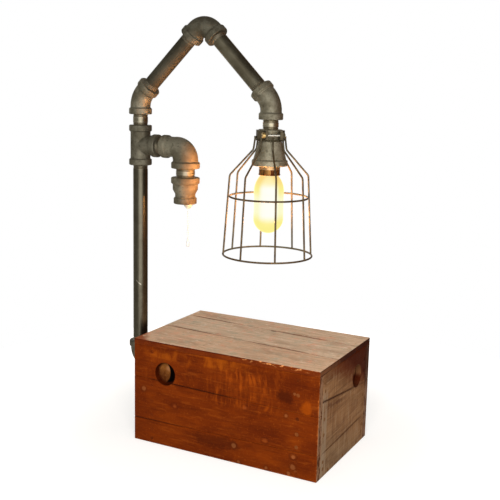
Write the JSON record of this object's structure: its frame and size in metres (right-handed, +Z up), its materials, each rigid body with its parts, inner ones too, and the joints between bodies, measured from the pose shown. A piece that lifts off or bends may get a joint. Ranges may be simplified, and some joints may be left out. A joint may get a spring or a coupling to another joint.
{
  "type": "table lamp",
  "caption": "Table lamp made of iron pipe fittings on a small wooden crate, with a caged tubular bulb at the end of its arched arm and a tap-like spout that holds a chain pull switch.",
  "frame": {"origin": "centre of the crate's underside", "axes": "+Z up, +X along the crate's long side from the pipe post's end, +Y from the stained front towards the back"},
  "size_m": [0.3332, 0.1856, 0.5961],
  "materials": {
    "stained_wood": "satin, reddish-brown stain, worn",
    "bleached_wood": "matt, bleached and greyed",
    "weathered_wood": "matt, weathered",
    "raw_wood": "matt, raw",
    "nail_steel": "dulled",
    "black_rubber": "matt",
    "pipe_iron": "oiled black pipe, half gloss",
    "cast_fittings": "aged malleable casting, oiled",
    "washer_steel": "dulled",
    "cage_wire": "dark bronzed",
    "brass": "aged",
    "clamp_steel": "bright",
    "clamp_brass": "aged",
    "pale_chain": "bright nickel",
    "porcelain": "glazed white",
    "switch_plastic": "moulded",
    "bulb_glass": "clear, warm when lit",
    "clear_glass": "clear",
    "filament": "glowing",
    "flex_fabric": "braided"
  },
  "bodies": {
    "base": {"back_boards": "weathered_wood", "base_elbow": "cast_fittings", "base_nipple": "pipe_iron", "bell_mouth": "brass", "branch_nipple": "pipe_iron", "contact_blades": "brass", "cord_grommet": "black_rubber", "corner_posts": "raw_wood", "crate_nails": "nail_steel", "drum_pin": "clamp_steel", "drum_spring": "clamp_steel", "floor_boards": "raw_wood", "front_board_bottom": "stained_wood", "front_board_middle": "stained_wood", "front_board_top": "stained_wood", "hole_plugs": "raw_wood", "left_boards": "stained_wood", "lid_board_back": "bleached_wood", "lid_board_front": "bleached_wood", "lid_board_middle": "bleached_wood", "panel_locknut": "washer_steel", "panel_washers": "washer_steel", "post_pipe": "pipe_iron", "post_tee": "cast_fittings", "right_board_bottom": "weathered_wood", "right_board_middle": "weathered_wood", "right_board_top": "weathered_wood", "spout_bushing": "pipe_iron", "spout_elbow": "cast_fittings", "spout_nipple": "pipe_iron", "spout_reducer": "cast_fittings", "supply_flex": "flex_fabric", "switch_body": "switch_plastic", "switch_cap": "switch_plastic"},
    "arch": {"riser_nipple": "pipe_iron", "lower_bend": "cast_fittings", "rising_pipe": "pipe_iron", "top_elbow": "cast_fittings", "falling_pipe": "pipe_iron", "upper_bend": "cast_fittings", "arch_flex": "flex_fabric"},
    "head": {"drop_nipple": "pipe_iron", "lamp_cup": "cast_fittings", "holder_insulator": "porcelain", "socket_shell": "brass", "centre_contact": "brass", "bulb_cap": "brass", "bulb_glass": "bulb_glass", "bulb_stem": "clear_glass", "filament": "filament", "cage_collar": "cage_wire", "cage_wires": "cage_wire", "cage_middle_ring": "cage_wire", "cage_bottom_ring": "cage_wire", "clamp_screw": "clamp_brass", "clamp_nut": "clamp_steel", "head_flex": "flex_fabric"},
    "chain": {"pull_chain": "pale_chain", "chain_bell": "pale_chain"},
    "drum": {"pull_drum": "brass"}
  },
  "joints": [
    {"name": "arch_swing", "type": "hinge", "parent": "base", "child": "arch", "pos_m": [-0.174, -0.0312, 0.4343], "axis": [0, 0, 1], "range_deg": [-90, 90]},
    {"name": "head_turn", "type": "hinge", "parent": "arch", "child": "head", "pos_m": [0.0334, -0.0312, 0.4621], "axis": [0, 0, 1], "range_deg": [-180, 180]},
    {"name": "chain_pull", "type": "slide", "parent": "base", "child": "chain", "axis": [0, 0, -1], "range_m": [0, 0.008], "stiffness_N_per_m": 800, "springref_m": -0.004},
    {"name": "drum_turn", "type": "hinge", "parent": "base", "child": "drum", "pos_m": [-0.0979, -0.0312, 0.3584], "axis": [0, 1, 0], "range_deg": [0, 92]}
  ],
  "couplings": [
    {"joint": "drum_turn", "follows": "chain_pull", "rad_per_m": 200}
  ]
}
